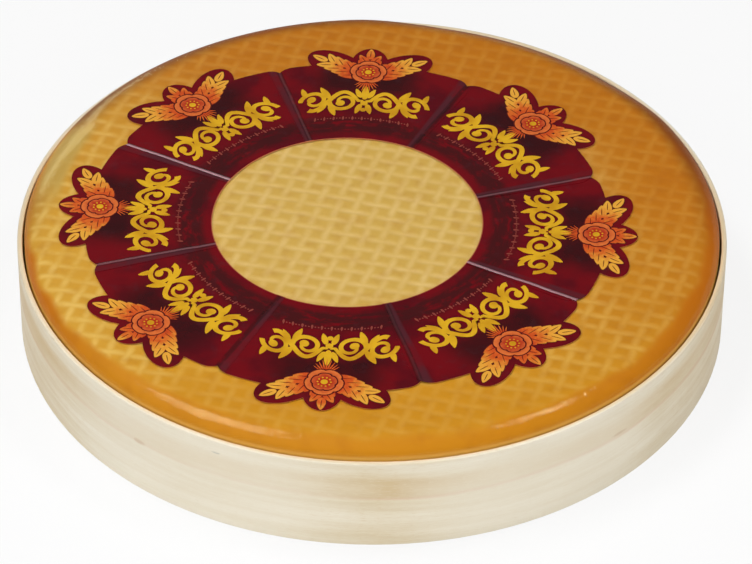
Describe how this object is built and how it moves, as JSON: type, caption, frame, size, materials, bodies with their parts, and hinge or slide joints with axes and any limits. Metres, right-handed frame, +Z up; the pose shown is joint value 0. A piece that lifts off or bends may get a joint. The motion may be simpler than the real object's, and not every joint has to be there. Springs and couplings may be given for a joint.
{
  "type": "cheese box",
  "caption": "Shallow round bent-wood tray holding a film-wrapped smoked cheese wheel with a ring of sector labels; the wheel lifts out.",
  "frame": {"origin": "centre of the tray's underside, on the surface it stands on", "axes": "+Z up along the hoop's axis, +Y towards the back where the hoop's lap is, +X to the right"},
  "size_m": [0.3, 0.3, 0.0509],
  "materials": {
    "hoop_wood": "raw peeled veneer, fine grain",
    "board_wood": "raw planed board",
    "staple_wire": "bright wire",
    "cheese": "smoked rind with a woven imprint",
    "clear_film": "clear, glossy",
    "label_paper": "glossy print"
  },
  "bodies": {
    "tray": {"base_board": "board_wood", "side_hoop": "hoop_wood", "hoop_staples": "staple_wire"},
    "cheese": {"cheese_wheel": "cheese", "film_cover": "clear_film", "film_base_sheet": "clear_film", "label_1": "label_paper", "label_2": "label_paper", "label_3": "label_paper", "label_4": "label_paper", "label_5": "label_paper", "label_6": "label_paper", "label_7": "label_paper", "label_8": "label_paper"}
  },
  "joints": [
    {"name": "lift_out", "type": "slide", "parent": "tray", "child": "cheese", "axis": [0, 0, 1], "range_m": [0, 0.08]}
  ]
}
